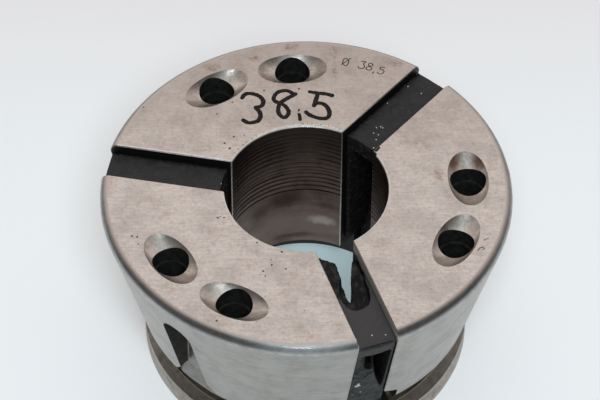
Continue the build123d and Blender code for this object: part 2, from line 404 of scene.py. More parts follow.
def layRoundTheAxis(place, shader):
    # the marks of turning and grinding run round the head, so highlights spread across them
    parts = addNode(place, "SeparateXYZ", {0: place})
    back = addNode(place, "Math", {0: parts["Y"], 1: -1.0}, operation="MULTIPLY")[0]
    along = addNode(place, "CombineXYZ", {"X": back, "Y": parts["X"]})[0]
    turned = addNode(
        place, "VectorTransform", {0: along}, vector_type="VECTOR", convert_from="OBJECT", convert_to="WORLD"
    )[0]
    place.id_data.links.new(turned, shader.inputs["Tangent"])
    shader.inputs["Anisotropic Rotation"].default_value = 0.25


def turnedFinish(key):
    # steel cut or ground round the axis: fine lines run round the head, over patches of wear
    look = {**cutSet, **turnedSet[key]}
    material, shader, place = newMaterial(look["name"], look["colour"], Metallic=1, Anisotropic=look["anisotropic"])
    # lines finer than a pixel are drawn as wide as lineMm, forty times as long
    along = roundTheAxis(place, look["radiusMm"], look["lineStretch"])
    lines = mottled(along, look["lineMm"], *look["lineLevels"])
    blotch = mottled(place, look["blotchMm"], *look["blotchLevels"])
    colour = tinted(blotch, look["colour"], look["worn"], look["blotchStrength"])
    colour = tinted(lines, colour, look["worn"], look["lineStrength"])
    if "low" in look:
        # the lower part is painted paler in long clouds, a painted reflection
        over, start, end, strength = look["low"]
        cloud = mottled(roundTheAxis(place, look["radiusMm"], look["cloudStretch"]), *look["clouds"], Detail=0.5)
        lower = rising(place, upwards, start * mm, end * mm, strength)
        colour = tinted(cloud, colour, over, lower)
    # the upper part is painted darker, as painted shade
    if "high" in look:
        over, start, end, strength = look["high"]
        colour = tinted(rising(place, upwards, start * mm, end * mm), colour, over, strength)
    # painted shade on the faces turned to the back
    if "shadedSide" in look:
        over, start, end, strength = look["shadedSide"]
        facing = addNode(place, "NewGeometry")["Normal"]
        colour = tinted(rising(facing, backwards, start, end), colour, over, strength)
    ragged = shakenPlace(place, *look["stainShakeMm"])
    for centre, radii, strength, patchColour in look["stainsAndReflections"]:
        spot = spotShare(ragged, centre, radii, look["stainSoft"])
        colour = tinted(spot, colour, patchColour, strength)
    if "top" in look:
        over, *depths = look["top"]
        colour = tinted(belowFace(place, depths), colour, over)
    # a thin ring painted lighter, a painted highlight
    if "paintedHighlightRing" in look:
        over, inner, outer, soft, strength = look["paintedHighlightRing"]
        fromAxis = roundTheAxis(place)
        outside = rising(fromAxis, sideways, (inner - soft) * mm, inner * mm, strength)
        within = rising(fromAxis, sideways, (outer + soft) * mm, outer * mm)
        colour = tinted(within, colour, over, outside)
    dressed(shader, colour, lines, look["roughness"], lines, look["lineDeepMm"])
    if look["anisotropic"]:
        layRoundTheAxis(place, shader)
    return material


smallSet = dict(
    # the drilled holes and the rear recess: nearly black, painted shade, lighter in patches, a painted dull gleam
    # on the step
    hole=dict(name="drilled hole, painted shade", colours=("#1E1D1B", "#32302D", 0.8), patches=(1.2,),
        roughness=(0.45, 0.6), Metallic=0.35),
    # felt-pen ink on steel: a thin brown-black coat, thinner in the middle of a stroke
    ink=dict(name="felt-pen ink", colours=("#140D0E", "#3E2F2E", 0.7), patches=(0.45, 0.45, 0.8),
        Roughness=0.55, Specular_IOR_Level=0.18),
    # electro-etched marking: matt grey-brown lines, a few hundredths deep
    etched=dict(name="etched marking", colours=("#4B413B", "#6C6058", 0.8), patches=(0.5,),
        roughness=(0.5, 0.65), Metallic=0.8),
    # rust pits and dents: dull brown, no metal shine
    pit=dict(name="rust pit", colours=("#4A3A31", "#6E5749", 0.8), patches=(0.6,),
        roughness=(0.6, 0.8), Metallic=0.3),
    # grit and swarf pressed into the rubber: matt, pale grey; the same finish draws painted glints on the torn foot
    gritAndGlint=dict(name="pale grit", colours=("#C9C6C2", "#85827E", 0.7), patches=(0.3,),
        Roughness=0.7),
)


def smallFinish(key):
    # two colours in patches, the second one rougher, unless the roughness is one value on the shader's own socket
    look = smallSet[key]
    under, over, strength = look["colours"]
    values = {key: value for key, value in look.items() if key in ("Metallic", "Roughness", "Specular_IOR_Level")}
    material, shader, place = newMaterial(look["name"], under, **values)
    patches = mottled(place, *look["patches"])
    wear = patches if "roughness" in look else None
    dressed(shader, tinted(patches, under, over, strength), wear, look.get("roughness"))
    return material


filmSet = dict(
    colour="#0D0B0C", thinColour="#9A8E86", roughness=(0.36, 0.6), patchMm=1.5,
    thinDepths=(4.5, 2), thinFront=(-0.005, -0.015),  # the steel shows through at the front slot's top
)


def filmFinish():
    # the thin skin of rubber that bonds to the slots' flanks: black, slightly glossy
    look = filmSet
    material, shader, place = newMaterial("bonded rubber film", look["colour"], Specular_IOR_Level=0.35)
    patches = mottled(place, look["patchMm"])
    nearTop = belowFace(place, look["thinDepths"])
    nearFront = rising(place, backwards, *look["thinFront"])
    colour = tinted(nearTop, look["colour"], look["thinColour"], nearFront)
    dressed(shader, colour, patches, look["roughness"])
    return material


zones = ["face", *turnedSet, "hole", "film", "ink", "etched", "pit"]
finishes = {"face": groundFaceFinish(), "film": filmFinish()}
finishes.update({key: turnedFinish(key) for key in turnedSet})
finishes.update({key: smallFinish(key) for key in smallSet})
print("finishes made:", len(finishes))


# Steel segments: new meshes from the CAD ones, sorted into finishes, with marks, pits and turned rings
steel = dict(
    middles=dict(upper_segment=110, left_segment=230, right_segment=350),
    bodies=dict(upper_segment="upper_jaw", left_segment="left_jaw", right_segment="right_jaw"),
    slotTurn=60,  # from a segment's middle to the slot on each side
    slotHalfMm=4.65, reliefHalfMm=8.5, reliefTopMm=29.5, reliefInnerMm=30, reliefFloorMm=(30.5, 31.5),
    rimInnerMm=44.9, rimDepthMm=2.6, taperTiltDeg=14,
    holeRadiusMm=4.35, holeDeepMm=17, holeCircleMm=38, dishHalfMm=6, dishDeepMm=2.1,
    recessRadiusMm=25.5, recessTopMm=41.9, boreEdgeMm=0.5, flankEndMm=30, edgeDeepMm=0.3,
    keywayAngle=230, keywayFloorMm=37.8, keywayHalfMm=6.6, keywayDepths=(7, 38.6), wallFacing=0.6,
    ringDepths=[2.6, 4, 5.46, 6.89, 8.18, 9.81, 11.43, 12.9, 14.4, 15.6, 16.79, 18.25, 19.73, 21.24, 22.87],
    # deeper than real tool marks, so that they show
    ringDeep=[0.06, 0.08, 0.14, 0.17, 0.19, 0.19, 0.19, 0.06, 0.06, 0.06, 0.17, 0.19, 0.19, 0.19, 0.17],
    ringHalfMm=0.24,
    pitCorners=9, pitRagged=(0.6, 1.25), pitDeepShare=0.4, pitFloorShare=0.75,
    etchDeepMm=0.05, scratchDeepMm=0.03, strokeRagged=dict(ink=0.25), otherRagged=0.1,
)
# the bore size, in felt pen and etched beside it: line widths and centrelines in mm
inkStrokes = [
    (1.15, [(-15.5, 28.2), (-15.05, 29.1), (-14.2, 29.7), (-13.1, 29.6), (-11.9, 29.15), (-11, 28.4), (-10.4, 27.2),
        (-10.55, 26.1), (-11.1, 25.4), (-12.2, 25.25)]),
    (1.15, [(-12, 24.8), (-11.3, 23.8), (-11, 22.7), (-11.15, 21.7), (-11.7, 20.75), (-12.8, 20.3), (-13.75, 20.15),
        (-14.6, 20.6), (-15.05, 21)]),
    (1.1, [(-2.75, 29.6), (-3.8, 28.8), (-5, 27.9), (-5.9, 27.15), (-6.5, 26.4), (-6.75, 25.3), (-6.8, 24.1),
        (-6.5, 22.9), (-5.5, 21.95), (-4.6, 22.6), (-4.3, 23.8), (-4.75, 25), (-5.5, 26), (-6.7, 26.7),
        (-7.7, 27.3), (-7.95, 28.2), (-7.6, 29.3), (-6.7, 30.3), (-5.1, 30.7), (-4, 30.3), (-3.3, 29.6)]),
    (0.4, [(-1.8, 24.6), (-2, 24.1)]),
    (0.9, [(-1.85, 23.1), (-1.65, 22.3), (-1.6, 21.3)]),
    (1.1, [(0.7, 30.35), (1.8, 30.1), (3, 29.9), (4.5, 29.7), (6, 29.2)]),
    (1.1, [(2.6, 29.9), (2.45, 28.8), (2.1, 27.4), (1.75, 25.85)]),
    (1.15, [(2.1, 26.55), (3.05, 26.7), (4, 26.4), (4.8, 25.5), (5.3, 24.3), (5.4, 23.1), (5, 22), (3.9, 21.7),
        (2.6, 21.9), (1.25, 22.5), (0.2, 23.25), (-0.15, 23.8)]),
]
etchedWidth = 0.28
etchedStrokes = [
    [(9.5, 41.5), (10.1, 40.7), (10, 39.9), (9.7, 39.2), (9.2, 39.1), (8.7, 39.7), (8.7, 40.6), (9.05, 41.3),
        (9.5, 41.5)],
    [(8.3, 39.4), (10.6, 41.5)],
    [(13.2, 40.5), (13.9, 40.5), (14.3, 40.25), (13.7, 39.8), (13.85, 39.2), (13.85, 38.6), (13.4, 38.1),
        (12.6, 38.2), (12.4, 38.8)],
    [(15.4, 39.9), (15.85, 39.7), (15.9, 39.2), (15.4, 38.9), (14.95, 39.15), (14.95, 39.65), (15.4, 39.9)],
    [(14.95, 38.8), (15.55, 38.5), (15.6, 37.9), (14.95, 37.6), (14.35, 37.9), (14.35, 38.5), (14.95, 38.8)],
    [(16.15, 37.05), (15.85, 36.55)],
    [(18.9, 38.4), (18.15, 38.6), (17.85, 38.5), (17.6, 37.9), (18.15, 37.85), (18.6, 37.3), (18.4, 36.7),
        (17.85, 36.35), (17.2, 36.5), (17.05, 36.95)],
]
pits = [  # centre and radius in mm
    (-17.2, 15.7, 0.3), (-14.8, 16.2, 0.22), (-19.4, 13.6, 0.3), (-18.1, 12.0, 0.35), (-10.3, 30.7, 0.3),
    (-17.8, 26.8, 0.25), (-21.4, 23.0, 0.25), (-1.9, 31.3, 0.3), (-39.0, 25.0, 0.25), (-20.5, -9.5, 0.3),
    (-19.9, -9.2, 0.22), (-19.0, -9.5, 0.3), (-5.6, -19.7, 0.35), (-8.1, -22.1, 0.25), (-7.9, -23.6, 0.3),
    (-4.6, -24.8, 0.28), (-9.8, -25.4, 0.3), (-9.3, -26.9, 0.25), (-20.0, -40.0, 0.35), (-38.9, -15.5, 0.35),
    (-40.1, -15.2, 0.3), (-38.6, -17.6, 0.22), (-11.3, -17.0, 0.25), (-0.3, -36.8, 0.16), (40.6, -17.9, 0.2),
    (3.4, 19.7, 0.16), (1.2, 19.95, 0.13), (-0.9, 19.95, 0.2), (0.2, 20.0, 0.12), (-3.1, 19.7, 0.12),
    (5.2, 19.3, 0.14), (-11.9, 16.0, 0.16), (-13.0, 15.1, 0.2), (-14.2, 14.0, 0.18), (-15.0, 13.1, 0.24),
    (-16.1, 11.7, 0.2), (-16.9, 10.6, 0.15), (-10.2, 17.1, 0.12), (9.4, 30.9, 0.12), (-19.6, 28.1, 0.14),
    (24.6, 22.4, 0.14),
]
scratches = [
    (0.22, [(40.9, -15.9), (41.3, -15.5), (41.9, -15.4)]), (0.25, [(39.4, -18.9), (39.9, -18.2), (40.7, -17.9)]),
    (0.2, [(40.5, -18.7), (41, -18.2)]),
]
# moulding flash laps over one corner of the right segment
flashSet = dict(corner=(15.57, 11.32), radiusMm=1.25, width=0.8, line=[(17, 12.6), (16.75, 12.1), (16.4, 11.6)])
holeAxes = [Vector(mount["pos_m"][:2]) / mm for name, mount in mounts.items() if name.startswith("fixture_hole")]


def acrossSlot(x, y, angle):
    # place along a slot's middle line and across it
    return x * cos(radians(angle)) + y * sin(radians(angle)), y * cos(radians(angle)) - x * sin(radians(angle))


# painted highlights along the left slot and round the top of the bore, drawn on the face in the edges' finish, as
# (width, line on the face)
leftEdge = [acrossSlot(along, -4.98, -170) for along in (20, 24, 30, 37, 46.2)]
boreEdge = [(19.93 * cos(radians(angle)), 19.93 * sin(radians(angle))) for angle in range(68, 134, 6)]
paintedHighlightEdges = [(0.42, leftEdge), (0.22, boreEdge)]


def zoneOf(centre, normal, middle):
    # which finish a face of a segment takes, from where it lies and which way it faces
    look = steel
    x, y, depth = centre.x / mm, centre.y / mm, (frontZ - centre.z) / mm
    radius = hypot(x, y)
    outwards = (normal.x * x + normal.y * y) / radius
    if depth < 0.01:
        return "face"
    for angle in (middle - look["slotTurn"], middle + look["slotTurn"]):
        along, across = acrossSlot(x, y, angle)
        facing = abs(acrossSlot(normal.x, normal.y, angle)[1])
        if abs(abs(across) - look["slotHalfMm"]) < 0.02 and facing > 0.99:
            return "film"
        if depth > look["reliefTopMm"] and abs(across) < look["reliefHalfMm"] and along > look["reliefInnerMm"]:
            onFloor = outwards > 0.9 and look["reliefFloorMm"][0] < along < look["reliefFloorMm"][1]
            if facing > 0.9 or onFloor or 0.3 < facing < 0.95 > outwards:
                return "film"
    if depth < look["holeDeepMm"] and (normal.z < 0.05 or depth > look["dishDeepMm"]):
        if any(hypot(x - axis.x, y - axis.y) < look["holeRadiusMm"] for axis in holeAxes):
            return "hole"
    if depth < look["dishDeepMm"] and normal.z > 0.3 and abs(radius - look["holeCircleMm"]) < look["dishHalfMm"]:
        return "dish"
    # the rear recess takes the holes' near-black finish: painted shade
    if radius < look["recessRadiusMm"] and depth > look["recessTopMm"]:
        return "hole"
    if radius < boreRadius + 0.05 and abs(normal.z) < 0.05:
        return "bore"
    if radius < boreRadius + look["boreEdgeMm"] and depth < look["boreEdgeMm"]:
        return "edge"
    if radius < look["flankEndMm"] and depth < look["recessTopMm"] + 0.1 and abs(normal.z) < 0.8:
        return "edge"
    if depth < look["rimDepthMm"] and radius > look["rimInnerMm"] and outwards > 0:
        return "rim"
    if abs(normal.z + sin(radians(look["taperTiltDeg"]))) < 0.02 and outwards > 0.9:
        return "taper"
    if depth < look["edgeDeepMm"]:
        return "edge"
    along, across = acrossSlot(x, y, look["keywayAngle"])
    top, end = look["keywayDepths"]
    if along > look["keywayFloorMm"] and abs(across) < look["keywayHalfMm"] and top < depth < end:
        facing = abs(acrossSlot(normal.x, normal.y, look["keywayAngle"])[1])
        return "wall" if facing > look["wallFacing"] else "keyway"
    return "rear"


def smoothLine(points, step=0.3):
    # a smooth curve through the points, as closely spaced places
    line = []
    padded = [points[0], *points, points[-1]]
    for p0, p1, p2, p3 in zip(padded, padded[1:], padded[2:], padded[3:]):
        pieces = max(1, ceil(hypot(p2[0] - p1[0], p2[1] - p1[1]) / step))
        for piece in range(pieces):
            t = piece / pieces
            line.append(tuple(
                0.5 * (2 * b + (c - a) * t + (2 * a - 5 * b + 4 * c - d) * t * t + (3 * b - a - 3 * c + d) * t ** 3)
                for a, b, c, d in zip(p0, p1, p2, p3)
            ))
    return line + [points[-1]]


def besideLine(line, width, ragged):
    # the closed outline of a stroke of this width along a line, with round ends
    left, right, ends = [], [], []
    for place, point in enumerate(line):
        before, after = line[max(place - 1, 0)], line[min(place + 1, len(line) - 1)]
        angle = atan2(after[1] - before[1], after[0] - before[0])
        half = width / 2 * (1 + ragged * noise.noise(Vector((point[0] * 2.1, point[1] * 2.1, width))))
        left.append((point[0] - sin(angle) * half, point[1] + cos(angle) * half))
        right.append((point[0] + sin(angle) * half, point[1] - cos(angle) * half))
        if place in (0, len(line) - 1):
            turns = [angle + pi / 2 + (t if place == 0 else -t) for t in (pi / 4, pi / 2, 3 * pi / 4)]
            ends.append([(point[0] + cos(turn) * half, point[1] + sin(turn) * half) for turn in turns])
    return left + ends[1] + right[::-1] + ends[0][::-1]


def distanceToLine(point, line):
    best = 1e9
    for a, b in zip(line, line[1:]):
        run, rise = b[0] - a[0], b[1] - a[1]
        length = run * run + rise * rise or 1e-12
        t = min(1, max(0, ((point[0] - a[0]) * run + (point[1] - a[1]) * rise) / length))
        best = min(best, hypot(point[0] - a[0] - run * t, point[1] - a[1] - rise * t))
    return best


def isInside(point, sides):
    # whether a place lies inside the outline that these sides make up
    inside = False
    for (ax, ay), (bx, by) in sides:
        if (ay > point[1]) != (by > point[1]) and point[0] < ax + (point[1] - ay) * (bx - ax) / (by - ay):
            inside = not inside
    return inside


def drawFace(bm, marks, pitsHere, layer):
    # the flat face, drawn again round the marks, so that each stroke and pit is geometry
    look = steel
    faceZone = zones.index("face")
    bmesh.ops.delete(bm, geom=[f for f in bm.faces if f.material_index == faceZone], context="FACES")
    edges = [e for e in bm.edges if e.is_boundary]
    ringVerts = list({v for e in edges for v in e.verts})
    ringVerts.sort(key=lambda v: (v.co.x, v.co.y))
    number = {v: place for place, v in enumerate(ringVerts)}
    points = [Vector((v.co.x / mm, v.co.y / mm)) for v in ringVerts]
    lines = [(number[e.verts[0]], number[e.verts[1]]) for e in edges]
    border = [(tuple(points[a]), tuple(points[b])) for a, b in lines]
    deep = {}
    for zone, line, width, deepMm in marks:
        outline = besideLine(line, width, look["strokeRagged"].get(zone, look["otherRagged"]))
        first = len(points)
        points += [Vector(p) for p in outline]
        lines += [(first + n, first + (n + 1) % len(outline)) for n in range(len(outline))]
        if deepMm:
            first = len(points)
            points += [Vector(p) for p in line]
            lines += [(first + n, first + n + 1) for n in range(len(line) - 1)]
            deep.update({first + n: deepMm for n in range(len(line))})
    corners = look["pitCorners"]
    for x, y, radius in pitsHere:
        shake = random.Random(f"{x},{y}")
        first = len(points)
        for turn in [2 * pi * n / corners for n in range(corners)]:
            reach = [radius * shake.uniform(*look["pitRagged"]) for _ in range(2)]
            points.append(Vector((x + cos(turn) * reach[0], y + sin(turn) * reach[1])))
        lines += [(first + n, first + (n + 1) % corners) for n in range(corners)]
        deep[len(points)] = radius * look["pitDeepShare"]
        points.append(Vector((x, y)))
    outPoints, _, outFaces, origins, _, _ = delaunay_2d_cdt(points, lines, [], 0, 1e-5)
    made = []
    for place, origin in zip(outPoints, origins):
        onRing = [n for n in origin if n < len(ringVerts)]
        if onRing:
            made.append(ringVerts[onRing[0]])
        else:
            down = max([deep.get(n, 0) for n in origin] or [0])
            made.append(bm.verts.new((place.x * mm, place.y * mm, frontZ - down * mm)))
    boxes = []
    for zone, line, width, _ in marks:
        xs, ys = [p[0] for p in line], [p[1] for p in line]
        boxes.append((zone, line, width, min(xs) - width, max(xs) + width, min(ys) - width, max(ys) + width))
    for corners in outFaces:
        middle = sum((outPoints[n] for n in corners), Vector((0, 0))) / len(corners)
        if not isInside(middle, border) or len({made[n] for n in corners}) < 3:
            continue
        try:
            face = bm.faces.new([made[n] for n in corners])
        except ValueError:
            continue
        zone = "face"
        for markZone, line, width, x0, x1, y0, y1 in boxes:
            if x0 < middle.x < x1 and y0 < middle.y < y1 and distanceToLine(middle, line) < width / 2:
                zone = markZone
        if any(hypot(middle.x - x, middle.y - y) < radius * look["pitFloorShare"] for x, y, radius in pitsHere):
            zone = "pit"
        face.normal_update()
        if face.normal.z < 0:
            face.normal_flip()
        face.material_index = zones.index(zone)
        face.smooth = True
        for loop in face.loops:
            loop[layer] = face.normal if zone in ("etched", "pit") else Vector(upwards)


def cutRings(bm, layer):
    # turned rings: three cuts round the bore at each, the middle one moved outwards for a shallow V
    half = steel["ringHalfMm"]
    boreZone = zones.index("bore")
    for depthMm in steel["ringDepths"]:
        for offset in (-half, 0, half):
            wall = [f for f in bm.faces if f.material_index == boreZone]
            geometry = wall + list({e for f in wall for e in f.edges}) + list({v for f in wall for v in f.verts})
            bmesh.ops.bisect_plane(
                bm, geom=geometry, dist=1e-7, plane_co=(0, 0, frontZ - (depthMm + offset) * mm), plane_no=upwards
            )
    wallVerts = {v for f in bm.faces if f.material_index == boreZone for v in f.verts}
    for vert in wallVerts:
        depthMm = (frontZ - vert.co.z) / mm
        for ring, deepMm in zip(steel["ringDepths"], steel["ringDeep"]):
            if abs(depthMm - ring) < 0.01:
                grow = 1 + deepMm * mm / hypot(vert.co.x, vert.co.y)
                vert.co.x *= grow
                vert.co.y *= grow
    for face in bm.faces:
        if face.material_index != boreZone:
            continue
        face.normal_update()
        depths = [(frontZ - v.co.z) / mm for v in face.verts]
        inRing = any(abs(sum(depths) / len(depths) - ring) < half for ring in steel["ringDepths"])
        for loop in face.loops:
            inward = Vector((-loop.vert.co.x, -loop.vert.co.y, 0)).normalized()
            if inRing and max(depths) - min(depths) < half * 1.2:
                inward = (inward + Vector((0, 0, face.normal.z))).normalized()
            loop[layer] = inward


def marksOn(name, onSegment):
    # the strokes drawn on one segment's face, as (finish, line, width, depth)
    marks = []
    if name == "upper_segment":
        marks += [("ink", smoothLine(line), width, 0) for width, line in inkStrokes]
        marks += [("edge", line, width, 0) for width, line in paintedHighlightEdges]
        marks += [("etched", smoothLine(line, 0.2), etchedWidth, steel["etchDeepMm"]) for line in etchedStrokes]
    for width, line in scratches:
        if onSegment(*line[0]):
            marks.append(("pit", smoothLine(line, 0.25), width, steel["scratchDeepMm"]))
    if name == "right_segment":
        marks.append(("film", flashSet["line"], flashSet["width"], 0))
    return marks


for name, middle in steel["middles"].items():
    source = frame["nodes"][name].data
    corners = [tuple(corner.vector) for corner in source.corner_normals]
    bm = bmesh.new()
    bm.from_mesh(source)
    layer = bm.loops.layers.float_vector.new("cadNormal")
    bm.faces.ensure_lookup_table()
    for polygon, face in zip(source.polygons, bm.faces):
        for loop, corner in zip(face.loops, polygon.loop_indices):
            loop[layer] = corners[corner]
    bmesh.ops.remove_doubles(bm, verts=bm.verts[:], dist=1e-7)
    for face in bm.faces:
        place = face.calc_center_median()
        zone = zoneOf(place, face.normal, middle)
        face.material_index = zones.index(zone)
        if zone != "edge" or frontZ - place.z > steel["boreEdgeMm"] * mm:
            continue
        # a broken edge is rounded by wear, so its upper normals turn into the face's
        for loop in face.loops:
            loop[layer] = Vector(upwards) if frontZ - loop.vert.co.z < 0.02 * mm else face.normal
        fromCorner = Vector(place[:2]) / mm - Vector(flashSet["corner"])
        if name == "right_segment" and fromCorner.length < flashSet["radiusMm"]:
            face.material_index = zones.index("film")

    def onSegment(x, y):
        return cos(atan2(y, x) - radians(middle)) > cos(radians(steel["slotTurn"]))

    cutRings(bm, layer)
    drawFace(bm, marksOn(name, onSegment), [pit for pit in pits if onSegment(*pit[:2])], layer)
    mesh = asMesh(name + "_steel", bm)
    for zone in zones:
        mesh.materials.append(finishes[zone])
    held = mesh.attributes["cadNormal"].data
    normals = [Vector(item.vector) for item in held]
    for polygon in mesh.polygons:
        for corner in polygon.loop_indices:
            if normals[corner].length < 0.5:
                normals[corner] = polygon.normal
    mesh.normals_split_custom_set([n.normalized() for n in normals])
    mesh.attributes.remove(mesh.attributes["cadNormal"])
    piece = placed(name + "_steel", mesh)
    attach(piece, steel["bodies"][name])
    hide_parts(name)
    print(name, "steel:", len(mesh.polygons), "faces")


# Rubber webs: new meshes from the CAD ones, torn, creased and dusty
# Places on a web are in its slot's frame: mm from the axis along it, across it, and below the front face
rubberSet = dict(
    colour="#252323", dull="#383433", blotches=(2.2, 0.35, 0.72, 0.65), blotchStrength=0.7,
    lowShadeColour="#0C0E0F", lowShadeDull="#15181A", lowDepths=(5, 11), roughness=(0.42, 0.62),
    frontSheenColour="#433D3D", frontStarts=(-0.02, -0.034), frontDepths=(3.6, 2.8),
    dust=("#6A6663", 0.4), dustPatches=(0.42, 0.71, 0.76),
    pores=(0.5, 0.4, 0.75, 0.7), poreDeepMm=0.03,  # fine pores, drawn as coarse as a pixel needs
    insideColour="#0D0C0C", insideDull="#332E2C", insideRoughness=(0.7, 0.5),
    scuffs=(0.9, 0.42, 0.75, 0.65), scuffStretch=(1, 0.45, 1), scuffDeepMm=0.05,
)


def rubberFinish():
    # vulcanised nitrile rubber, moulded in the slots: black, semi-matt, dull in patches, grey dust in its skin;
    # painted shade deeper down, a painted sheen on the front web's top
    look = rubberSet
    material, shader, place = newMaterial("vulcanised nitrile rubber", look["colour"], Specular_IOR_Level=0.22)
    blotch = mottled(place, *look["blotches"])
    upper = tinted(blotch, look["colour"], look["dull"], look["blotchStrength"])
    # the front web's top, towards its outer end, is painted lighter: a painted sheen
    nearFront = rising(place, backwards, *look["frontStarts"], look["blotchStrength"])
    nearTop = belowFace(place, look["frontDepths"])
    upper = tinted(nearTop, upper, look["frontSheenColour"], nearFront)
    # deeper in the slots the rubber is painted near black: painted shade
    lower = tinted(blotch, look["lowShadeColour"], look["lowShadeDull"], look["blotchStrength"])
    low = belowFace(place, look["lowDepths"])
    dust = mottled(place, *look["dustPatches"], Detail=1)
    colour = tinted(dust, tinted(low, upper, lower), *look["dust"])
    pores = mottled(place, *look["pores"])
    dressed(shader, colour, blotch, look["roughness"], pores, look["poreDeepMm"], 0.6)
    return material


def insideFinish():
    # rubber that was torn, and rubber inside the slots painted deep black as shade: matt, with a few grey scuffs
    look = rubberSet
    material, shader, place = newMaterial("torn and shaded nitrile rubber", look["insideColour"], Specular_IOR_Level=0.25)
    along = addNode(place, "VectorMath", {0: place, 1: look["scuffStretch"]}, operation="MULTIPLY")[0]
    scuff = mottled(along, *look["scuffs"])
    colour = tinted(scuff, look["insideColour"], look["insideDull"], 0.9)
    dressed(shader, colour, scuff, look["insideRoughness"], scuff, look["scuffDeepMm"], 0.6)
    return material


web = dict(
    rear_web=dict(
        angle=50, joint="right_close", innerReachMm=0.45, flankGroove=4.22,
        specks=[
            (42.3, 3.6), (42.6, -0.3), (42.1, -1), (35.5, 5.2), (35.6, 4.1), (34.8, 4), (36.7, -2.2), (29.9, -1),
            (28, 0.3), (28, -0.3), (24, -1.4), (25.5, -0.8), (21.6, -2.8), (27, 0.9), (26.2, 0.4), (25.2, 0.3),
            (29, 1.9),
        ],
        creases=[[(34.9, 2.9), (37.9, -0.6), (34.1, -3.7), (31.1, -0.2), (34.9, 2.9)]],
    ),
    left_web=dict(
        angle=170, joint="left_close", innerReachMm=1.15, flankGroove=-4.3,
        specks=[(27.6, -4.4), (25.1, -3.1), (20.3, 0.4), (20.9, 0.4), (43.4, -3.1), (27.3, -4.3), (38.6, 3.1)],
        creases=[[(36.6, -1.9), (32.7, -2.7), (32, 0.4), (36, 1.1), (36.6, -1.9)]],
    ),
    front_web=dict(
        angle=290, joint="left_close", innerReachMm=0, flankGroove=0,
        specks=[(45.2, 2.7), (44.3, -0.3)],
        creases=[],
    ),
    voxelMm=0.3, closedShare=0.814, acrossShare=0.994,
    topFacing=0.7, topDepthMm=3.4, taperFrontMm=47.9, taperSlope=0.2486,
    waves=[(0.05, 0.4), (0.02, 1.4)],  # height in mm, and how many to the mm
    creaseDeepMm=0.16, creaseHalfMm=0.4, flankGrooveDeepMm=0.6, speckMm=0.13, speckHighMm=0.06,
    bondedMm=(4.55, 0.4), innerEndMm=(23.2, 1.8),  # where a change ends, and over how much it fades in
)
tearEdge = [
    (18.2, -3.9), (18.9, -3.2), (19.5, -3.6), (20.2, -2.6), (20.8, -1.9), (21.5, -1.3), (22, -0.7), (23.4, -0.85),
    (24.3, -0.95), (25.5, -1), (26.9, -1.05), (28.2, -1), (29.5, -1.15), (30.9, -1.3), (31.9, -1.15), (33.2, -0.95),
    (32, -0.45), (29.9, 0.4), (27.8, 1), (26.4, 1.4), (23.6, 2.5), (21.5, 3.4), (20, 4.2), (18, 4.8), (16.5, 0),
]
tearRecess = [
    (24.3, 4.75), (25.9, 4.5), (28.8, 3.9), (31.1, 3.7), (33.3, 3.4), (34.7, 2.9), (35.8, 2.1), (36.4, 0.8),
    (36.5, -0.7), (35.9, -2.3), (34.6, -2.9), (33, -3.1), (31.9, -2.9), (29.6, -2.7), (27.2, -1.6), (26.5, -0.6),
    (22, 1.2), (20.5, 3.8),
]
# what is cut from the torn web and what is left in it: seen from the top, side or end, outline, from, to
tornCuts = [
    ("top", tearEdge, 1, 7.9),
    ("top", tearRecess, 1, 4.7),
    ("side", [(46.1, 1), (46.1, 2.6), (46.9, 2.95), (47.4, 3.7), (47.5, 5), (50, 5), (50, 1)], -5, 5),
    ("end", [(-0.9, 13.6), (-0.7, 14.3), (0.2, 15.1), (0.6, 16.4), (1.6, 20.7), (2.6, 24.1), (3.5, 27),
             (3.75, 24), (3.9, 16), (3.9, 7.2), (2.8, 7.2), (2.8, 13)], 26, 52),
]
tornRests = [
    ("top", [(19.2, -4.6), *tearEdge[1:5], (22.4, -1.2), (22.4, -4.6)], 2.6, 6.6),
    ("end", [(-3.6, 7), (-3.6, 14.4), (-0.2, 14.4), (-0.2, 14), (-0.6, 13.8), (-1.1, 13.5), (-1.5, 12.9),
             (-1.7, 12), (-1.7, 7)], 32, 43.9),
    ("end", [(-3.6, 7), (-3.6, 14.4), (-0.2, 14.4), (-0.2, 14.1), (-1.2, 14), (-2, 13.4), (-2.5, 12.4),
             (-2.6, 7)], 43, 45.1),
    ("end", [(-0.25, 7), (-0.2, 14.4), (0.3, 14.9), (0.2, 10.5), (0.25, 7)], 43.6, 44.7),
]
tear = dict(
    lengthMm=37.5, depthMm=8, acrossMm=(-5, 3), raggedMm=0.12, raggedPerMm=1.7, tornAndShadedMm=37,
    # the whole strap round the tear, out to the recess, is drawn black: the torn rubber, and painted shade in the
    # recess
    tornAndShaded=tearRecess[:12] + [(31.5, -4.2), (30.5, -4.8), (17, -4.8), (17, 4.8)],
)
foot = dict(
    innerMm=38, facing=0.5, lumpDepths=(14.2, 19), lumpAcrossMm=0.6, lumpFadeMm=0.8,
    lumpShift=(3, 0, 7), lumpPerMm=0.75, lumpHighMm=0.42, finePerMm=1.9, fineHighMm=0.16,
    dullDepths=(14.4, 17.8), dullAcrossMm=-0.4, dullLevel=0.06,
    glints=[(-2.8, 22.6, 0.6), (-1.6, 26.6, 0.25), (-3.4, 27, 0.22), (-2.5, 21.6, 0.2)],  # painted glints: across, depth, size
    glintPerMm=2.3, glintRagged=0.8,
)


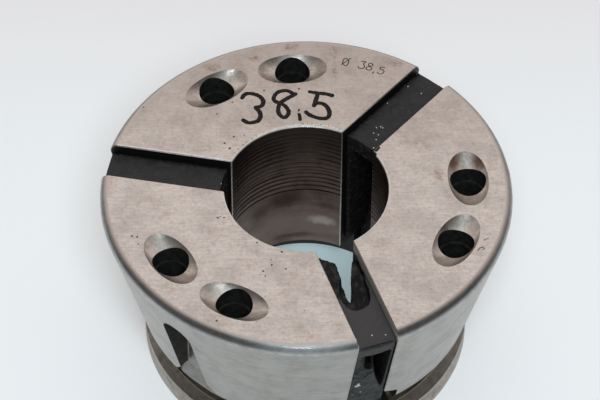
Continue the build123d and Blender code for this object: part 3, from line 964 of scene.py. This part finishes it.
def prism(name, faces, outline, start, end):
    # a closed solid in the slot's frame: seen from the top, from the side or from the outer end
    places = {
        "top": lambda a, b, c: (a, b, frontZ / mm - c),
        "side": lambda a, b, c: (a, c, frontZ / mm - b),
        "end": lambda a, b, c: (c, a, frontZ / mm - b),
    }
    bm = bmesh.new()
    ends = [[bm.verts.new(Vector(places[faces](a, b, level)) * mm) for a, b in outline] for level in (start, end)]
    bm.faces.new(ends[0])
    bm.faces.new(ends[1][::-1])
    for n in range(len(outline)):
        after = (n + 1) % len(outline)
        bm.faces.new((ends[0][n], ends[1][n], ends[1][after], ends[0][after]))
    bmesh.ops.triangulate(bm, faces=bm.faces[:])
    bmesh.ops.recalc_face_normals(bm, faces=bm.faces[:])
    return placed(name, asMesh(name, bm))


def turnBy(bm, angle):
    bmesh.ops.rotate(bm, verts=bm.verts[:], cent=(0, 0, 0), matrix=Matrix.Rotation(radians(angle), 3, "Z"))


def evaluated(piece):
    return bpy.data.meshes.new_from_object(piece.evaluated_get(bpy.context.evaluated_depsgraph_get()))


def rubberShape(source, angle, cuts, rests):
    # the CAD web laid along X, cut, joined with what is left in the cuts, and meshed finely
    bm = bmesh.new()
    bm.from_mesh(source)
    bmesh.ops.remove_doubles(bm, verts=bm.verts[:], dist=1e-7)
    turnBy(bm, -angle)
    rough = placed("rubber", asMesh("rubber", bm))
    solids = []
    for number, cut in enumerate(cuts):
        solids.append(prism(f"cut_{number}", *cut))
        change = rough.modifiers.new(solids[-1].name, "BOOLEAN")
        change.object, change.operation, change.solver = solids[-1], "DIFFERENCE", "EXACT"
    bm = bmesh.new()
    bm.from_mesh(evaluated(rough))
    for number, rest in enumerate(rests):
        solids.append(prism(f"rest_{number}", *rest))
        bm.from_mesh(solids[-1].data)
    rough.modifiers.clear()
    bm.to_mesh(rough.data)
    bm.free()
    fine = rough.modifiers.new("fine mesh", "REMESH")  # it also joins the solids that overlap
    fine.mode, fine.voxel_size = "VOXEL", web["voxelMm"] * mm
    soft = rough.modifiers.new("soft edges", "SMOOTH")
    soft.factor, soft.iterations = 0.5, 2
    result = evaluated(rough)
    for thing in (rough, *solids):
        bpy.data.objects.remove(thing)
    return result


def faded(distance, over):
    return min(1, max(0, distance / over))


def lumpsAt(spot):
    return noise.noise(spot * foot["lumpPerMm"] + Vector(foot["lumpShift"]))


def tornPush(spot, facingUp, onTop):
    # how far the torn web's skin swells: lumps on the foot, and ragged walls in the tear
    along, across, depth = spot
    push = 0
    start, end = foot["lumpDepths"]
    onFoot = along > foot["innerMm"] and facingUp < foot["facing"]
    if onFoot and start < depth < end and across < foot["lumpAcrossMm"]:
        fine = foot["fineHighMm"] * noise.noise(spot * foot["finePerMm"])
        push = (foot["lumpHighMm"] * max(0, lumpsAt(spot)) + fine) * faded(depth - start, foot["lumpFadeMm"])
    left, right = tear["acrossMm"]
    if along < tear["lengthMm"] and depth < tear["depthMm"] and left < across < right and not onTop:
        push += tear["raggedMm"] * noise.noise(spot * tear["raggedPerMm"])
    return push


def topDrop(along, across, look):
    # how far the strap's top lies lower: creases, the groove beside one flank and, upwards, grit
    down = 0
    for line in look["lines"]:
        down += web["creaseDeepMm"] * max(0, 1 - distanceToLine((along, across), line) / web["creaseHalfMm"])
    if look["flankGroove"] and (across - look["flankGroove"]) * look["flankGroove"] > 0:
        down += web["flankGrooveDeepMm"]
    return down - web["speckHighMm"] * nearSpecks(along, across, look)


def nearSpecks(along, across, look):
    return sum(hypot(along - x, across - y) < web["speckMm"] for x, y in look["specks"])


def onTornFoot(face, spot):
    # on the torn web's foot: whether a face takes a painted glint, and whether it lies on a lump drawn dull and
    # dark
    across, depth = spot.y, spot.z
    if face.normal.z >= foot["facing"] or spot.x <= foot["innerMm"]:
        return False, False
    place = face.calc_center_median() / mm
    size = 1 + foot["glintRagged"] * noise.noise(place * foot["glintPerMm"])
    gritAndGlint = any(hypot(across - y, depth - z) < radius * size for y, z, radius in foot["glints"])
    start, end = foot["dullDepths"]
    dull = start < depth < end and across < foot["dullAcrossMm"] and lumpsAt(spot) > foot["dullLevel"]
    return gritAndGlint, dull


rubberFinishes = [rubberFinish(), finishes["gritAndGlint"], insideFinish()]
for name in ("rear_web", "left_web", "front_web"):
    look = web[name]
    look["lines"] = [smoothLine(line, 0.4) for line in look["creases"]]
    torn = name == "front_web"
    if torn:
        # the tear has a finer form than the CAD gives it, so it is cut afresh into a whole web
        mesh = rubberShape(frame["nodes"]["rear_web"].data, web["rear_web"]["angle"], tornCuts, tornRests)
    else:
        mesh = rubberShape(frame["nodes"][name].data, look["angle"], [], [])
    bm = bmesh.new()
    bm.from_mesh(mesh)
    bm.normal_update()
    moves = {}
    for vert in bm.verts:
        spot = Vector((vert.co.x / mm, vert.co.y / mm, (frontZ - vert.co.z) / mm))
        along, across, depth = spot
        onTop = vert.normal.z > web["topFacing"] and depth < web["topDepthMm"]
        push = sum(height * noise.noise(spot * perMillimetre) for height, perMillimetre in web["waves"])
        if torn:
            push += tornPush(spot, vert.normal.z, onTop)
        down = topDrop(along, across, look) if onTop else 0
        bonded, bondedOver = web["bondedMm"]  # the bonded flanks stay where they are
        innerEnd, innerOver = web["innerEndMm"]  # the inner end comes nearer to the bore
        reach = look["innerReachMm"] * faded(innerEnd - along, innerOver)
        swell = push * faded(bonded - abs(across), bondedOver)
        moves[vert] = vert.normal * swell * mm - Vector((reach, 0, down)) * mm
    for vert, move in moves.items():
        vert.co += move
    tornAndShaded = list(zip(tear["tornAndShaded"], tear["tornAndShaded"][1:] + tear["tornAndShaded"][:1]))
    for face in bm.faces:
        middle = face.calc_center_median() / mm
        depth = frontZ / mm - middle.z
        onTop = face.normal.z > web["topFacing"] and depth < web["topDepthMm"]
        gritAndGlint = onTop and nearSpecks(middle.x, middle.y, look) > 0
        # faces below the top and inside the taper are painted black: painted shade
        behind = web["taperFrontMm"] - web["taperSlope"] * depth
        inside = not onTop and hypot(middle.x, middle.y) < behind
        if torn:
            inside = inside or middle.x < tear["tornAndShadedMm"] and isInside(middle, tornAndShaded)
            footGlint, footDull = onTornFoot(face, Vector((middle.x, middle.y, depth)))
            gritAndGlint, inside = gritAndGlint or footGlint, inside or footDull
        face.material_index = 1 if gritAndGlint else 2 if inside else 0
        face.smooth = True
    bmesh.ops.scale(bm, verts=bm.verts[:], vec=(1, web["acrossShare"], 1))
    turnBy(bm, look["angle"])
    bm.to_mesh(mesh)
    bm.free()
    for finish in rubberFinishes:
        mesh.materials.append(finish)
    piece = placed(name + "_rubber", mesh)
    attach(piece, "rubber_webs")
    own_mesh(piece)
    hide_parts(name)
    print(name, "rubber:", len(mesh.polygons), "faces")
